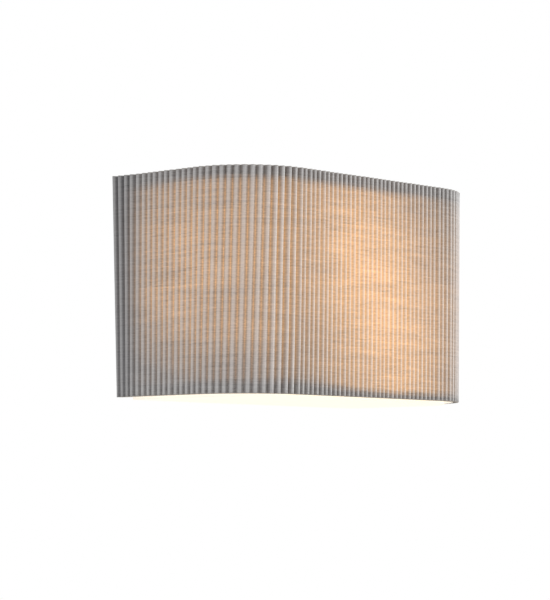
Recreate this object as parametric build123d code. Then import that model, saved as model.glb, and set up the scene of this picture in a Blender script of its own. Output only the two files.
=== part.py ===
from build123d import *
import os
from math import atan2, cos, pi, sin, sqrt

# Wall light with a pleated cloth shade on a flat steel frame.
# Frame of the part: the wall is the plane Y = 0, the room lies towards -Y, +Z is up.
# The origin is on the wall plane, at the middle of the shade's width and height.
# All lengths are in millimetres.

# ---------------------------------------------------------------- shade outline
shade_width = 300.0        # over the crests of the pleats
shade_depth = 150.0        # wall to the front crests
shade_height = 180.0
shade_corner = 60.0        # plan radius of the two front corners
wall_gap = 0.5             # shade's rear edges to the wall

# ---------------------------------------------------------------- pleated cloth
pleats_side = 14
pleats_corner = 15
pleats_front = 33
pleat_depth = 4.0          # crest to valley
fold_flat = 0.8            # rounded tip of a fold, drawn as a flat
cloth_thickness = 0.45
cloth_gap = 0.3            # glue and slack between cloth and lining

# ---------------------------------------------------------------- shade frame
liner_thickness = 0.7
glue_line = 0.05
band_thickness = 1.0
band_height = 8.5
upright_width = 20.0
upright_thickness = 1.5
side_clearance = 0.5       # upright to tray flange
lift_travel = 8.0          # the shade is raised this far to unhook
slot_clearance = 0.1       # radial, round a hanging peg

# ---------------------------------------------------------------- diffuser and its ledges
ledge_reach = 5.0
ledge_width = 12.0
ledge_sheet = 1.0
ledge_leg = 4.5
ledge_inboard = 75.0       # front ledges, from the middle
ledge_to_upright = 5.5     # rear side ledges, from the uprights
ledge_to_corner = 3.5      # front side ledges, from the start of the corner
flange_clearance = 2.3     # diffuser flange to the bottom band
flange_width = 3.5
flange_thickness = 1.5
diffuser_wall = 2.0
diffuser_drop = 2.0        # underside below the shade's lower edge
diffuser_rear = 3.0        # rear edge of the flange to the wall
diffuser_radius = 3.0      # rear corners
diffuser_floor_round = 0.9

# ---------------------------------------------------------------- back tray and cover plate
tray_below_top = 6.0       # top flange to the shade's top edge
tray_above_bottom = 30.0
tray_depth = 22.0
tray_sheet = 1.2
tray_corner = 4.0
tray_bend = 1.0            # inside radius of the folds
cover_sheet = 1.0
cover_clearance = 0.4
cover_lip = 7.0
wall_slot_spacing = 190.0
wall_slot_drop = 54.0      # slots below the tray's top
wall_slot_width = 5.0
wall_slot_length = 12.0
peg_radius = 2.5
peg_from_wall = 10.0
peg_upper_inset = 32.0     # from the tray's top
peg_lower_inset = 22.0     # from the tray's bottom
peg_reach = 2.2            # past the outside of the flange
peg_head_radius = 4.0
peg_head_thickness = 1.4
standoff_radius = 4.0
standoff_spacing = 220.0
standoff_inset = 14.0      # from the tray's top and bottom
standoff_bore_depth = 9.0

# ---------------------------------------------------------------- cable entry and lead bush
entry_inset = 32.0         # from the tray's bottom
entry_bore = 4.5
entry_body = 6.5
entry_flange = 9.0
entry_flange_thickness = 1.5
entry_collar = 2.3
lead_bush_gap = 1.6        # flange to the lamp arm below it
lead_bush_bore = 3.0
lead_bush_body = 4.2
lead_bush_flange = 5.6
lead_bush_flange_thickness = 1.2
bush_fit = 0.1             # radial, bush in its hole

# ---------------------------------------------------------------- lamp arm
arm_width = 20.0
arm_sheet = 2.0
arm_below_tray = 16.0      # top of the arm to the tray's top
arm_leg = 33.0             # top of the arm to the lower end of its foot
arm_bend = 3.0             # inside radius
arm_end = 11.0             # past the lampholder's axis
arm_tip_round = 9.0
arm_toe_round = 4.0
arm_screw_first = 11.0     # below the arm's top
arm_screw_second = 25.0

# ---------------------------------------------------------------- lampholder
holder_from_wall = 75.0
nipple_radius = 5.0
nipple_bore = 3.9
nipple_above = 6.0         # above the arm
nipple_into_cap = 6.0      # below the cap's top
thread_fit = 0.05          # radial, between a threaded pair drawn without threads
lock_washer_radius = 9.0
lock_washer_thickness = 1.0
nipple_nut_flats = 14.0
nipple_nut_thickness = 3.5
cap_height = 22.0
cap_boss_radius = 8.5
cap_boss_height = 4.0
cap_radius = 19.5
cap_slope = 3.0            # width of the dome's sloping shoulder
cap_slope_drop = 2.0
cap_wall = 2.0
body_height = 22.0         # below the cap's rim
body_neck = 8.0            # inside the cap
body_edge = 1.0            # chamfer round the mouth
body_lead_in = 0.5         # slope from the mouth to the sleeve's bore
body_rib = 0.8
body_rib_share = 0.6       # of the barrel's height
body_rib_count = 12
block_radius = 15.2
block_thickness = 5.0
block_stands_out = 1.0     # above the body's neck
block_fit = 0.1
terminal_spread = 8.0      # between the two lead holes in the contact block
sleeve_radius = 13.35      # inside of the threaded sleeve
sleeve_wall = 0.4
sleeve_length = 21.0
sleeve_to_block = 0.4
contact_strip = 0.4
contact_width = 6.0
contact_reach = 10.0       # fixed end of the strip, from the axis
contact_fixed = 4.0        # length that lies on the block
contact_pad = 3.0          # half length that the lamp presses on

# ---------------------------------------------------------------- lamp
bulb_tip_gap = 1.9         # contact block to the tip of the lamp, taken up by the contact strip
bulb_length = 105.0
bulb_radius = 30.0
bulb_glass = 1.0
bulb_fit = 0.08            # radial, lamp cap in the sleeve
cap_shell = 0.5
cap_shell_length = 22.0
cap_tip_length = 5.0       # insulator and contact above the shell
cap_crown = 2.0            # rise of the shell's turned-in top
glass_in_cap = 4.0         # length of the neck inside the shell
glass_flare = 24.0         # radius of the hollow flare between neck and globe
insulator_radius = 9.5
insulator_edge = 0.8
contact_radius = 4.6
contact_height = 1.0
contact_edge = 0.5
bulb_turns = 3.0
thread_pitch = 3.629

# ---------------------------------------------------------------- terminals, leads, fasteners
pole_pitch = 11.0
pole_first = -72.0         # live pole, from the middle
block_height = 18.0
block_inset = 60.0         # block's middle from the tray's bottom
block_base = 4.0
block_ear = 7.0
pole_from_wall = 9.0
pole_radius = 4.4
tube_radius = 3.0
tube_bore = 1.6
tube_fit = 0.05
tube_inset = 1.0
pole_screw_radius = 1.5
pole_screw_offset = 4.5    # either side of the block's middle
pole_screw_hole = 1.9
pole_screw_sunk = 0.4      # below the barrel's crown
lead_radius = 1.0
core_radius = 0.55
core_length = 6.0
lead_pitch = 3.0           # between the two leads where they run together
lead_bend_live = 9.0       # largest bend radius of each lead
lead_bend_neutral = 7.0
lead_bend_earth = 8.0
lead_crest = 10.0          # over the top of the nipple
lead_level = 12.0          # level run in front of the cover plate
lead_crest_back = 20.0     # start of the crest, behind the lampholder's axis
lead_into_block = 4.0
stud_x = -22.0
stud_above_block = 17.0    # from the block's upper edge
stud_radius = 2.0
stud_length = 11.0
tag_hole_fit = 0.15
tag_radius = 4.6
tag_sheet = 0.8
tag_neck = 7.0
tag_barrel = 1.9
tag_barrel_length = 6.0
tag_overlap = 2.0          # barrel over the neck
washer_radius = 4.5
washer_thickness = 0.8
nut_flats = 7.0
nut_thickness = 3.2
screw_radius = 2.0
screw_head = 4.0
screw_head_height = 2.4
screw_slot = 1.0
screw_slot_depth = 0.45    # share of the head's height
cover_screw_length = 8.0
arm_screw_length = 9.0
ear_screw_radius = 1.5
ear_screw_head = 2.8
ear_screw_head_height = 1.8
screw_fit = 0.05

# ---------------------------------------------------------------- worked-out places
half_height = shade_height / 2
side_run = shade_depth - shade_corner - wall_gap
corner_run = pi / 2 * shade_corner
front_run = shade_width - 2 * shade_corner
pleat_pitch = front_run / pleats_front
fold_run = pleat_pitch / 2 - fold_flat
fold_wall = cloth_thickness * sqrt(1 + (pleat_depth / fold_run) ** 2)

liner_out = pleat_depth + fold_wall + cloth_gap
liner_in = liner_out + liner_thickness
band_out = liner_in + glue_line
band_in = band_out + band_thickness
upright_out = shade_width / 2 - band_in
upright_in = upright_out - upright_thickness
tray_side = upright_in - side_clearance

ledge_side_first = wall_gap + upright_width + ledge_to_upright + ledge_width / 2
ledge_side_second = shade_depth - shade_corner - ledge_to_corner - ledge_width / 2
flange_out = band_in + flange_clearance
diffuser_out = flange_out + flange_width
diffuser_bottom = -half_height - diffuser_drop
ledge_top = -half_height + ledge_leg

tray_top = half_height - tray_below_top
tray_bottom = -half_height + tray_above_bottom
tray_width = 2 * tray_side
tray_height = tray_top - tray_bottom
tray_middle = (tray_top + tray_bottom) / 2
cover_rear = tray_depth - cover_sheet
slot_radius = peg_radius + slot_clearance
wall_slot_height = tray_top - wall_slot_drop
peg_upper = tray_top - peg_upper_inset
peg_lower = tray_bottom + peg_lower_inset
standoff_upper = tray_top - standoff_inset
standoff_lower = tray_bottom + standoff_inset
entry_height = tray_bottom + entry_inset
block_centre = tray_bottom + block_inset
stud_height = block_centre + block_height / 2 + stud_above_block

arm_top = tray_top - arm_below_tray
arm_foot = arm_top - arm_leg
arm_screw_upper = arm_top - arm_screw_first
arm_screw_lower = arm_top - arm_screw_second
lead_bush_height = arm_top + lead_bush_gap + lead_bush_flange
arm_under = arm_top - arm_sheet
cap_top = arm_under - lock_washer_thickness
cap_rim = cap_top - cap_height
nipple_top = arm_top + nipple_above
nipple_bottom = cap_top - nipple_into_cap
neck_radius = cap_radius - cap_wall - thread_fit
body_bottom = cap_rim - body_height
body_top = cap_rim + body_neck
block_bottom = body_top - block_thickness + block_stands_out
block_top = block_bottom + block_thickness
sleeve_top = block_bottom - sleeve_to_block
bulb_tip = block_bottom - bulb_tip_gap
shell_top = bulb_tip - cap_tip_length
shell_bottom = shell_top - cap_shell_length
globe_centre = bulb_tip - bulb_length + bulb_radius


# ---------------------------------------------------------------- helpers
def box_between(x_low, x_high, y_low, y_high, z_low, z_high):
    centre = Pos((x_low + x_high) / 2, (y_low + y_high) / 2, (z_low + z_high) / 2)
    return centre * Box(x_high - x_low, y_high - y_low, z_high - z_low)


def rod_x(x_low, x_high, y, z, radius):
    return Pos((x_low + x_high) / 2, y, z) * Rot(0, 90, 0) * Cylinder(radius, x_high - x_low)


def rod_y(x, y_low, y_high, z, radius):
    return Pos(x, (y_low + y_high) / 2, z) * Rot(90, 0, 0) * Cylinder(radius, y_high - y_low)


def rod_z(x, y, z_low, z_high, radius):
    return Pos(x, y, (z_low + z_high) / 2) * Cylinder(radius, z_high - z_low)


def hex_y(x, y_low, y_high, z, flats, hole):
    """A nut with its axis along Y, from y_low to y_high."""
    face = RegularPolygon(flats / 2, 6, major_radius=False) - Circle(hole)
    return Plane(origin=(x, y_high, z), x_dir=(1, 0, 0), z_dir=(0, -1, 0)) * extrude(face, y_high - y_low)


def pan_screw(x, y_seat, z, length, radius, head, head_height):
    """A slotted pan-head screw driven towards the wall, its head's seat at y_seat."""
    cap = rod_y(x, y_seat - head_height, y_seat, z, head)
    cap = chamfer(cap.edges().filter_by(GeomType.CIRCLE).sort_by(Axis.Y)[0], head_height / 3)
    slot_floor = y_seat - head_height * (1 - screw_slot_depth)
    slot = box_between(x - head, x + head, y_seat - head_height, slot_floor,
                       z - screw_slot / 2, z + screw_slot / 2)
    return cap + rod_y(x, y_seat, y_seat + length, z, radius) - slot


def shade_region(inset, rear, rear_radius=0.0):
    """The plan of the shade, drawn in from the pleat crests, closed by a straight rear edge."""
    width = shade_width - 2 * inset
    depth = shade_depth - inset - rear
    plan = Pos(0, -rear - depth / 2) * Rectangle(width, depth)
    plan = fillet(plan.vertices().sort_by(Axis.Y)[:2], shade_corner - inset)
    if rear_radius > 0:
        plan = fillet(plan.vertices().sort_by(Axis.Y)[-2:], rear_radius)
    return plan


def shade_strip(inset_out, inset_in, z_low, z_high):
    """A wall of constant thickness that follows the plan and stays open at the rear."""
    plan = shade_region(inset_out, wall_gap) - shade_region(inset_in, 0)
    return Pos(0, 0, z_low) * extrude(plan, z_high - z_low)


def revolved(points):
    """A closed profile of (radius, z) points turned about the lampholder's axis."""
    profile = make_face(Plane.XZ * Polyline(*points, close=True))
    return Pos(0, -holder_from_wall, 0) * revolve(profile, Axis.Z)


# ---------------------------------------------------------------- shade
def plan_point(run, fraction, inset):
    """A point of the plan: run 0 to 4 is left side, corner, front, corner, right side."""
    centre_x = shade_width / 2 - shade_corner
    centre_y = -(shade_depth - shade_corner)
    radius = shade_corner - inset
    if run == 0:
        return -shade_width / 2 + inset, -wall_gap - side_run * fraction
    if run == 1:
        turn = pi + pi / 2 * fraction
        return -centre_x + radius * cos(turn), centre_y + radius * sin(turn)
    if run == 2:
        return -centre_x + front_run * fraction, -shade_depth + inset
    if run == 3:
        turn = -pi / 2 + pi / 2 * fraction
        return centre_x + radius * cos(turn), centre_y + radius * sin(turn)
    return shade_width / 2 - inset, centre_y + side_run * fraction


def pleat_line(inset, from_rear):
    """One face of the pleated cloth. Both rear ends stand on a crest and turn back to the lining."""
    counts = [pleats_side, pleats_corner, pleats_front, pleats_corner, pleats_side]
    lengths = [side_run, corner_run, front_run, corner_run, side_run]
    folds = []
    for run in range(5):
        count = round(counts[run])
        half_flat = fold_flat / 2 * count / lengths[run]
        for pleat in range(count):
            for place, depth in ((half_flat, 0.0), (0.5 - half_flat, pleat_depth),
                                 (0.5 + half_flat, pleat_depth), (1 - half_flat, 0.0)):
                folds.append(plan_point(run, (pleat + place) / count, inset + depth))
    turned_in = pleat_depth + fold_wall
    start = from_rear / side_run
    left_end = [plan_point(0, start, turned_in), plan_point(0, start, inset)]
    right_end = [plan_point(4, 1 - start, inset), plan_point(4, 1 - start, turned_in)]
    return left_end + folds[1:-1] + right_end


def make_pleated_cover():
    outline = pleat_line(0, 0) + pleat_line(fold_wall, cloth_thickness)[::-1]
    cloth = make_face(Polyline(*outline, close=True))
    return Pos(0, 0, -half_height) * extrude(cloth, shade_height)


def make_shade_liner():
    return shade_strip(liner_out, liner_in, -half_height, half_height)


def make_band(z_low):
    return shade_strip(band_out, band_in, z_low, z_low + band_height)


def make_upright(side):
    """Flat steel upright with two L-shaped slots that hook over the tray's pegs."""
    x_low = min(side * upright_in, side * upright_out)
    x_high = max(side * upright_in, side * upright_out)
    bar = box_between(x_low, x_high, -wall_gap - upright_width, -wall_gap, -half_height, half_height)
    for peg_height in (peg_upper, peg_lower):
        entry = peg_height - lift_travel
        for height in (peg_height, entry):
            bar -= rod_x(x_low, x_high, -peg_from_wall, height, slot_radius)
        bar -= box_between(x_low, x_high, -peg_from_wall - slot_radius, -peg_from_wall + slot_radius,
                           entry, peg_height)
        bar -= box_between(x_low, x_high, -peg_from_wall, -wall_gap, entry - slot_radius, entry + slot_radius)
    return bar


def ledge_profile():
    """Bent sheet: a leg that lies on the band and a shelf that points inwards."""
    top = ledge_top
    return [(0, top - ledge_sheet), (ledge_reach, top - ledge_sheet), (ledge_reach, top),
            (ledge_sheet, top), (ledge_sheet, top + ledge_leg), (0, top + ledge_leg)]


def make_ledges():
    """Six ledges on the bottom band that carry the diffuser's flange."""
    face = make_face(Plane.XZ * Polyline(*ledge_profile(), close=True))
    ledge = Pos(0, ledge_width / 2, 0) * extrude(face, ledge_width)
    side = shade_width / 2 - band_in
    front = shade_depth - band_in
    ledges = []
    for from_wall in (ledge_side_first, ledge_side_second):
        ledges.append(Pos(-side, -from_wall, 0) * ledge)
        ledges.append(Pos(side, -from_wall, 0) * Rot(0, 0, 180) * ledge)
    for x in (-ledge_inboard, ledge_inboard):
        ledges.append(Pos(x, -front, 0) * Rot(0, 0, 90) * ledge)
    return Compound(ledges)


def make_diffuser():
    """Opal tray that drops into the shade and stands a little below it."""
    flange_rear = diffuser_rear
    wall_rear = diffuser_rear + flange_width
    flange = extrude(shade_region(flange_out, flange_rear, diffuser_radius), flange_thickness)
    shell = Pos(0, 0, ledge_top) * flange
    wall_height = ledge_top + flange_thickness - diffuser_bottom
    outside = extrude(shade_region(diffuser_out, wall_rear, diffuser_radius), wall_height)
    outside = Pos(0, 0, diffuser_bottom) * outside
    lower_edges = outside.edges().group_by(Axis.Z)[0]
    shell += fillet(lower_edges, diffuser_floor_round)
    inside = extrude(shade_region(diffuser_out + diffuser_wall, wall_rear + diffuser_wall,
                                  diffuser_radius - diffuser_wall / 2), wall_height)
    return shell - Pos(0, 0, diffuser_bottom + diffuser_wall) * inside


# ---------------------------------------------------------------- back tray and cover plate
def folded_pan(width, height, depth, corner, sheet, bend):
    """A folded sheet pan: floor at Y = 0 to -sheet, flanges towards -Y."""
    outer = extrude(Plane.XZ * RectangleRounded(width, height, corner), depth)
    outer = fillet(outer.edges().group_by(Axis.Y)[-1], bend + sheet)
    inner_plan = RectangleRounded(width - 2 * sheet, height - 2 * sheet, corner - sheet)
    inner = Pos(0, -sheet, 0) * extrude(Plane.XZ * inner_plan, depth)
    inner = fillet(inner.edges().group_by(Axis.Y)[-1], bend)
    return outer - inner


def make_back_tray():
    tray = Pos(0, 0, tray_middle) * folded_pan(tray_width, tray_height, tray_depth,
                                               tray_corner, tray_sheet, tray_bend)
    slot = extrude(Plane.XZ * SlotOverall(wall_slot_length, wall_slot_width), tray_sheet)
    for side in (-1, 1):
        tray -= Pos(side * wall_slot_spacing / 2, 0, wall_slot_height) * slot
        for height in (peg_upper, peg_lower):
            x_out = side * tray_side
            x_in = side * (tray_side - tray_sheet)
            tray -= rod_x(min(x_in, x_out), max(x_in, x_out), -peg_from_wall, height, peg_radius)
    tray -= rod_y(0, -tray_sheet, 0, entry_height, entry_body + bush_fit)
    for x in ear_places():
        tray -= rod_y(x, -tray_sheet, 0, block_centre, ear_screw_radius + screw_fit)
    return tray


def make_hanging_pegs():
    """Four headed pegs pressed through the flanges; the heads are inside the tray."""
    pegs = []
    for side in (-1, 1):
        inner_face = tray_side - tray_sheet
        for height in (peg_upper, peg_lower):
            shank = rod_x(inner_face, tray_side + peg_reach, -peg_from_wall, height, peg_radius)
            tip = shank.edges().filter_by(GeomType.CIRCLE).sort_by(Axis.X)[-1]
            shank = chamfer(tip, peg_radius / 6)
            head = rod_x(inner_face - peg_head_thickness, inner_face, -peg_from_wall, height,
                         peg_head_radius)
            peg = shank + head
            pegs.append(peg if side > 0 else mirror(peg, Plane.YZ))
    return Compound(pegs)


def standoff_places():
    return [(side * standoff_spacing / 2, height) for side in (-1, 1)
            for height in (standoff_lower, standoff_upper)]


def make_standoffs():
    posts = []
    for x, height in standoff_places():
        post = rod_y(x, -cover_rear, -tray_sheet, height, standoff_radius)
        post -= rod_y(x, -cover_rear, -cover_rear + standoff_bore_depth, height, screw_radius + screw_fit)
        posts.append(post)
    return Compound(posts)


def make_cover_plate():
    """Shallow folded lid that closes the tray, flush with the edges of its flanges."""
    margin = 2 * (tray_sheet + cover_clearance)
    lid = folded_pan(tray_width - margin, tray_height - margin, cover_lip,
                     tray_corner - tray_sheet, cover_sheet, tray_bend)
    lid = Pos(0, -tray_depth, tray_middle) * Rot(0, 0, 180) * lid
    for x, height in standoff_places():
        lid -= rod_y(x, -tray_depth, -cover_rear, height, screw_radius + 4 * screw_fit)
    for height in (arm_screw_upper, arm_screw_lower):
        lid -= rod_y(0, -tray_depth, -cover_rear, height, screw_radius + screw_fit)
    lid -= rod_y(0, -tray_depth, -cover_rear, lead_bush_height, lead_bush_body + bush_fit)
    return lid


def make_cover_screws():
    return Compound([pan_screw(x, -tray_depth, height, cover_screw_length, screw_radius,
                               screw_head, screw_head_height) for x, height in standoff_places()])


def make_cable_bush():
    """Snap bush in the tray's floor that the supply cable comes through."""
    bush = rod_y(0, -tray_sheet, 0, entry_height, entry_body)
    flange_face = -tray_sheet - entry_flange_thickness
    bush += rod_y(0, flange_face, -tray_sheet, entry_height, entry_flange)
    bush += rod_y(0, flange_face - entry_collar, flange_face, entry_height, entry_body)
    return bush - rod_y(0, flange_face - entry_collar, 0, entry_height, entry_bore)


def make_lead_bush():
    """Snap bush in the cover plate that the lamp leads come out of."""
    flange_face = -tray_depth - lead_bush_flange_thickness
    rear = -cover_rear + cover_sheet
    bush = rod_y(0, -tray_depth, rear, lead_bush_height, lead_bush_body)
    bush += rod_y(0, flange_face, -tray_depth, lead_bush_height, lead_bush_flange)
    return bush - rod_y(0, flange_face, rear, lead_bush_height, lead_bush_bore)


# ---------------------------------------------------------------- lamp arm
def make_lamp_arm():
    """Bent steel strip: a foot on the cover plate and a level leg over the lamp."""
    seat = -tray_depth
    leg_end = -holder_from_wall - arm_end
    outline = [(seat, arm_foot), (seat, arm_top), (leg_end, arm_top), (leg_end, arm_under),
               (seat - arm_sheet, arm_under), (seat - arm_sheet, arm_foot)]
    face = make_face(Plane.YZ * Polyline(*outline, close=True))
    corners = face.vertices()
    face = fillet(corners.sort_by_distance((0, seat, arm_top))[0], arm_bend + arm_sheet)
    corners = face.vertices()
    face = fillet(corners.sort_by_distance((0, seat - arm_sheet, arm_under))[0], arm_bend)
    strip = Pos(-arm_width / 2, 0, 0) * extrude(face, arm_width)
    tip = strip.edges().filter_by(Axis.Z).sort_by(Axis.Y)[:2]
    strip = fillet(tip, arm_tip_round)
    toe = strip.edges().filter_by(Axis.Y).group_by(Axis.Z)[0]
    strip = fillet(toe, arm_toe_round)
    strip -= rod_z(0, -holder_from_wall, arm_under, arm_top, nipple_radius + bush_fit)
    for height in (arm_screw_upper, arm_screw_lower):
        strip -= rod_y(0, seat - arm_sheet, seat, height, screw_radius + screw_fit)
    return strip


def make_arm_screws():
    return Compound([pan_screw(0, -tray_depth - arm_sheet, height, arm_screw_length, screw_radius,
                               screw_head, screw_head_height)
                     for height in (arm_screw_upper, arm_screw_lower)])


def make_arm_washers():
    washers = []
    for height in (arm_screw_upper, arm_screw_lower):
        washer = rod_y(0, -cover_rear, -cover_rear + washer_thickness, height, washer_radius)
        washers.append(washer - rod_y(0, -cover_rear, -cover_rear + washer_thickness, height,
                                      screw_radius + screw_fit))
    return Compound(washers)


def make_arm_nuts():
    seat = -cover_rear + washer_thickness
    return Compound([hex_y(0, seat, seat + nut_thickness, height, nut_flats, screw_radius + screw_fit)
                     for height in (arm_screw_upper, arm_screw_lower)])


# ---------------------------------------------------------------- lampholder
def make_nipple():
    tube = rod_z(0, -holder_from_wall, nipple_bottom, nipple_top, nipple_radius)
    return tube - rod_z(0, -holder_from_wall, nipple_bottom, nipple_top, nipple_bore)


def make_nipple_nut():
    face = RegularPolygon(nipple_nut_flats / 2, 6, major_radius=False)
    face -= Circle(nipple_radius + thread_fit)
    return Pos(0, -holder_from_wall, arm_top) * extrude(face, nipple_nut_thickness)


def make_lock_washer():
    washer = rod_z(0, -holder_from_wall, cap_top, arm_under, lock_washer_radius)
    return washer - rod_z(0, -holder_from_wall, cap_top, arm_under, nipple_radius + bush_fit)


def make_lampholder_cap():
    """Domed cap with a threaded boss, screwed on the nipple and over the body's neck."""
    bore = nipple_radius + thread_fit
    inner = cap_radius - cap_wall
    boss_base = cap_top - cap_boss_height
    slope_foot = boss_base - cap_slope_drop
    skirt_top = body_top + cap_wall
    ceiling = cap_top - cap_boss_height
    return revolved([(bore, cap_top), (cap_boss_radius, cap_top), (cap_boss_radius, boss_base),
                     (cap_radius - cap_slope, slope_foot), (cap_radius, skirt_top),
                     (cap_radius, cap_rim), (inner, cap_rim), (inner, body_top),
                     (inner - cap_slope, slope_foot - cap_wall), (cap_boss_radius, ceiling - cap_wall),
                     (bore, ceiling - cap_wall)])


def make_lampholder_body():
    """Barrel with a neck for the cap, a seat for the contact block and grip ribs."""
    bore = sleeve_radius + sleeve_wall + thread_fit
    seat = block_radius + block_fit
    sleeve_bottom = sleeve_top - sleeve_length
    barrel = revolved([(neck_radius, body_top), (neck_radius, cap_rim), (cap_radius, cap_rim),
                       (cap_radius, body_bottom + body_edge), (cap_radius - body_edge, body_bottom),
                       (seat, body_bottom), (seat, sleeve_bottom - body_lead_in), (bore, sleeve_bottom),
                       (bore, block_bottom), (seat, block_bottom), (seat, body_top)])
    rib_length = body_height * body_rib_share
    rib = Pos(cap_radius, 0, -rib_length / 2) * extrude(RegularPolygon(body_rib, 4), rib_length)
    ribs = Compound(PolarLocations(0, body_rib_count) * rib)
    return barrel + Pos(0, -holder_from_wall, body_bottom + body_height / 2) * ribs


def make_contact_block():
    """Ceramic disc that seats in the body; two holes take the leads."""
    block = rod_z(0, -holder_from_wall, block_bottom, block_top, block_radius)
    for side in (-1, 1):
        y = -holder_from_wall + side * terminal_spread / 2
        block -= rod_z(0, y, block_bottom, block_top, lead_radius + block_fit)
    return block


def make_centre_contact():
    """Sprung strip under the contact block that the lamp's tip presses on."""
    low = bulb_tip + thread_fit
    rise = block_bottom - low
    fixed_end = contact_reach - contact_fixed
    centre_line = [(-contact_reach, rise), (-fixed_end, rise), (-contact_pad, contact_strip),
                   (contact_pad, contact_strip), (contact_pad + rise / 2, contact_strip + rise / 2)]
    under = [(y + contact_strip * (y > 0), z - contact_strip) for y, z in centre_line]
    outline = [(y - holder_from_wall, low + z) for y, z in centre_line + under[::-1]]
    face = make_face(Plane.YZ * Polyline(*outline, close=True))
    return Pos(-contact_width / 2, 0, 0) * extrude(face, contact_width)


def make_thread_sleeve():
    sleeve_bottom = sleeve_top - sleeve_length
    outer = rod_z(0, -holder_from_wall, sleeve_bottom, sleeve_top, sleeve_radius + sleeve_wall)
    return outer - rod_z(0, -holder_from_wall, sleeve_bottom, sleeve_top, sleeve_radius)


# ---------------------------------------------------------------- lamp
def glass_solid(inset):
    """The lamp's glass as a full solid: neck, hollow flare and round end, drawn in by inset."""
    neck = sleeve_radius - bulb_fit - cap_shell - thread_fit
    collar = shell_bottom + glass_in_cap - inset
    flare = glass_flare + inset
    radius = bulb_radius - inset
    centre_x = neck + glass_flare
    drop = sqrt((bulb_radius + glass_flare) ** 2 - centre_x ** 2)
    centre_z = globe_centre + drop
    turn = atan2(drop, centre_x)
    join = (radius * cos(turn), globe_centre + radius * sin(turn))
    low = globe_centre - radius
    side = (radius * cos(turn / 2), globe_centre - radius * sin(turn / 2))
    bend = (centre_x - flare * cos(turn / 2), centre_z - flare * sin(turn / 2))
    edges = [Line((0, collar), (neck - inset, collar)),
             Line((neck - inset, collar), (neck - inset, centre_z)),
             ThreePointArc((neck - inset, centre_z), bend, join), ThreePointArc(join, side, (0, low)),
             Line((0, low), (0, collar))]
    return revolve(Plane.XZ * make_face(edges), Axis.Z)


def make_bulb_glass():
    return Pos(0, -holder_from_wall, 0) * (glass_solid(0) - glass_solid(bulb_glass))


def make_bulb_cap():
    """Threaded shell of the lamp, drawn without its thread, open at both ends."""
    outer = sleeve_radius - bulb_fit
    inner = outer - cap_shell
    crown_top = shell_top + cap_crown
    return revolved([(outer, shell_bottom), (outer, shell_top), (insulator_radius + cap_shell, crown_top),
                     (insulator_radius, crown_top), (inner, shell_top - cap_shell),
                     (inner, shell_bottom)])


def make_bulb_insulator():
    base = shell_top + cap_crown + thread_fit
    tip = bulb_tip - contact_height
    return revolved([(0, base), (insulator_radius, base), (insulator_radius, base + insulator_edge),
                     (contact_radius + contact_edge, tip), (0, tip)])


def make_bulb_contact():
    tip = bulb_tip - contact_height
    return revolved([(0, tip), (contact_radius, tip), (contact_radius, bulb_tip - contact_edge),
                     (contact_radius - contact_edge, bulb_tip), (0, bulb_tip)])


# ---------------------------------------------------------------- terminals and leads
def pole_places():
    return [pole_first + pole_pitch * pole for pole in range(3)]


def ear_places():
    reach = pole_radius + block_ear / 2
    return [pole_first - reach, pole_first + 2 * pole_pitch + reach]


def make_terminal_block():
    """Three-pole terminal block with a screw ear at each end."""
    low = block_centre - block_height / 2
    high = block_centre + block_height / 2
    left = pole_first - pole_radius
    right = pole_first + 2 * pole_pitch + pole_radius
    block = box_between(left, right, -pole_from_wall, -tray_sheet, low, high)
    for x in pole_places():
        block += rod_z(x, -pole_from_wall, low, high, pole_radius)
    for x in ear_places():
        block += box_between(x - block_ear / 2, x + block_ear / 2, -tray_sheet - block_base, -tray_sheet,
                             block_centre - block_ear / 2, block_centre + block_ear / 2)
    for x in ear_places():
        block -= rod_y(x, -tray_sheet - block_base, -tray_sheet, block_centre,
                       ear_screw_radius + screw_fit)
    for x in pole_places():
        block -= rod_z(x, -pole_from_wall, low, high, tube_radius + tube_fit)
        for offset in (-pole_screw_offset, pole_screw_offset):
            block -= rod_y(x, -pole_from_wall - pole_radius, -pole_from_wall, block_centre + offset,
                           pole_screw_hole)
    return block


def make_terminal_tubes():
    tubes = []
    low = block_centre - block_height / 2 + tube_inset
    high = block_centre + block_height / 2 - tube_inset
    for x in pole_places():
        tube = rod_z(x, -pole_from_wall, low, high, tube_radius)
        tube -= rod_z(x, -pole_from_wall, low, high, tube_bore)
        for offset in (-pole_screw_offset, pole_screw_offset):
            tube -= rod_y(x, -pole_from_wall - tube_radius, -pole_from_wall, block_centre + offset,
                          pole_screw_radius + screw_fit)
        tubes.append(tube)
    return Compound(tubes)


def make_terminal_screws():
    inner = -pole_from_wall - core_radius - screw_fit
    outer = -pole_from_wall - pole_radius + pole_screw_sunk
    return Compound([rod_y(x, outer, inner, block_centre + offset, pole_screw_radius)
                     for x in pole_places() for offset in (-pole_screw_offset, pole_screw_offset)])


def make_ear_screws():
    seat = -tray_sheet - block_base
    return Compound([pan_screw(x, seat, block_centre, block_base + tray_sheet, ear_screw_radius,
                               ear_screw_head, ear_screw_head_height) for x in ear_places()])


def make_earth_stud():
    return rod_y(stud_x, -tray_sheet - stud_length, -tray_sheet, stud_height, stud_radius)


def tag_barrel_span():
    """X of the far and near ends of the earth tag's crimp barrel."""
    near = stud_x - tag_radius - tag_neck + tag_overlap
    return near - tag_barrel_length, near


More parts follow.
